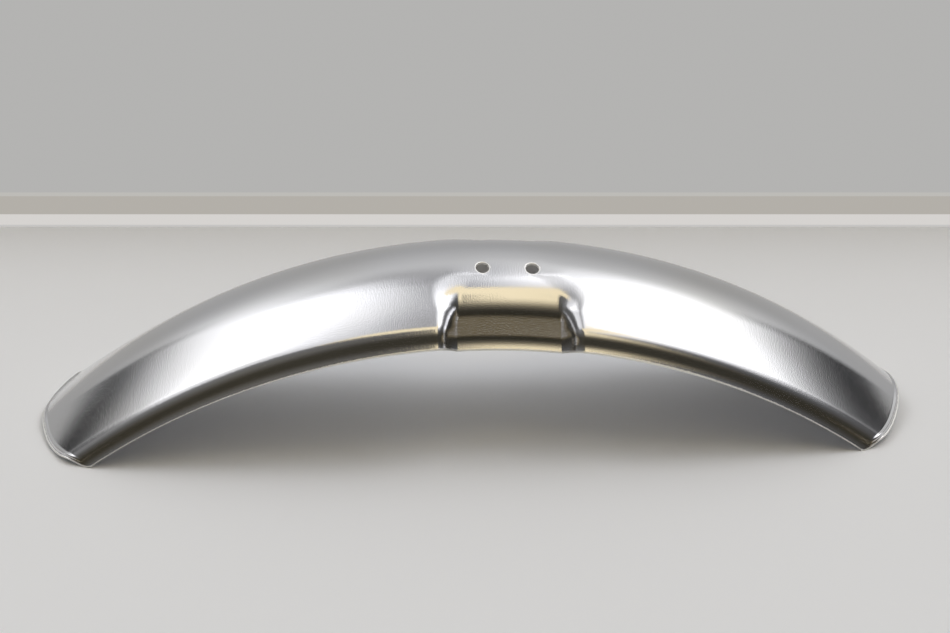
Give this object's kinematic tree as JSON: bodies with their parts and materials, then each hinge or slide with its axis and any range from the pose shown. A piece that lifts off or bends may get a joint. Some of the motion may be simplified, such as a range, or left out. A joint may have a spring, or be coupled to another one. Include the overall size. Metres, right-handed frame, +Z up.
{
  "type": "motorcycle front mudguard",
  "caption": "Short arched front mudguard pressed from polished sheet metal, with fork-leg recesses at the sides, beaded rounded ends and bolt holes in the crown.",
  "frame": {"origin": "middle of the box the guard fills, on the plane it rests on", "axes": "+Z up as it stands on its two ends, +X along the guard towards the end nearer the fork recesses, +Y across it"},
  "size_m": [0.4594, 0.1122, 0.0964],
  "materials": {
    "sheet": "polished to a soft mirror with fine lines across the guard"
  },
  "bodies": {
    "root": {"mudguard": "sheet"}
  },
  "joints": []
}
